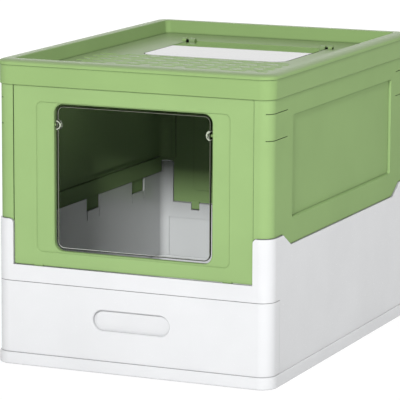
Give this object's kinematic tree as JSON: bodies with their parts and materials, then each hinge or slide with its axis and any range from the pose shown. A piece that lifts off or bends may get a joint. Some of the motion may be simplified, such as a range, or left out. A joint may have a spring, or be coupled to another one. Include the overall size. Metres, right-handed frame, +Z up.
{
  "type": "enclosed litter box",
  "caption": "Enclosed cat litter box with a pull-out drawer, fold-in walls, a swinging clear flap and a lift-off lid with a filter floor and a clear top hatch.",
  "frame": {"origin": "on the floor, under the middle of the base", "axes": "+Z up, -Y out of the front with the entrance and drawer, +X to the right seen from the front"},
  "size_m": [0.3746, 0.5006, 0.3835],
  "materials": {
    "white_plastic": "satin moulded polypropylene",
    "green_plastic": "satin moulded polypropylene",
    "clear_plastic": "clear polished",
    "black_plastic": "smooth"
  },
  "bodies": {
    "base": {"base_frame": "white_plastic", "left_wall": "green_plastic", "right_wall": "green_plastic"},
    "drawer": {"litter_drawer": "white_plastic"},
    "front": {"front_wall": "green_plastic", "flap_pin_left": "green_plastic", "flap_pin_right": "green_plastic"},
    "flap": {"front_flap": "clear_plastic"},
    "back": {"back_wall": "green_plastic"},
    "lid": {"lid": "green_plastic", "hatch_pin_left": "black_plastic", "hatch_pin_right": "black_plastic"},
    "hatch": {"top_hatch": "clear_plastic"}
  },
  "joints": [
    {"name": "drawer_slide", "type": "slide", "parent": "base", "child": "drawer", "axis": [0, -1, 0], "range_m": [0, 0.4]},
    {"name": "front_wall_fold", "type": "hinge", "parent": "base", "child": "front", "pos_m": [0, -0.2435, 0.1195], "axis": [-1, 0, 0], "range_deg": [0, 90]},
    {"name": "back_wall_fold", "type": "hinge", "parent": "base", "child": "back", "pos_m": [0, 0.2435, 0.1195], "axis": [1, 0, 0], "range_deg": [0, 90]},
    {"name": "flap_swing", "type": "hinge", "parent": "front", "child": "flap", "pos_m": [0, -0.2395, 0.305], "axis": [-1, 0, 0], "range_deg": [-80, 80]},
    {"name": "lid_lift", "type": "slide", "parent": "base", "child": "lid", "axis": [0, 0, 1], "range_m": [0, 0.1]},
    {"name": "hatch_swing", "type": "hinge", "parent": "lid", "child": "hatch", "pos_m": [0, 0.154, 0.3657], "axis": [-1, 0, 0], "range_deg": [0, 160]}
  ]
}
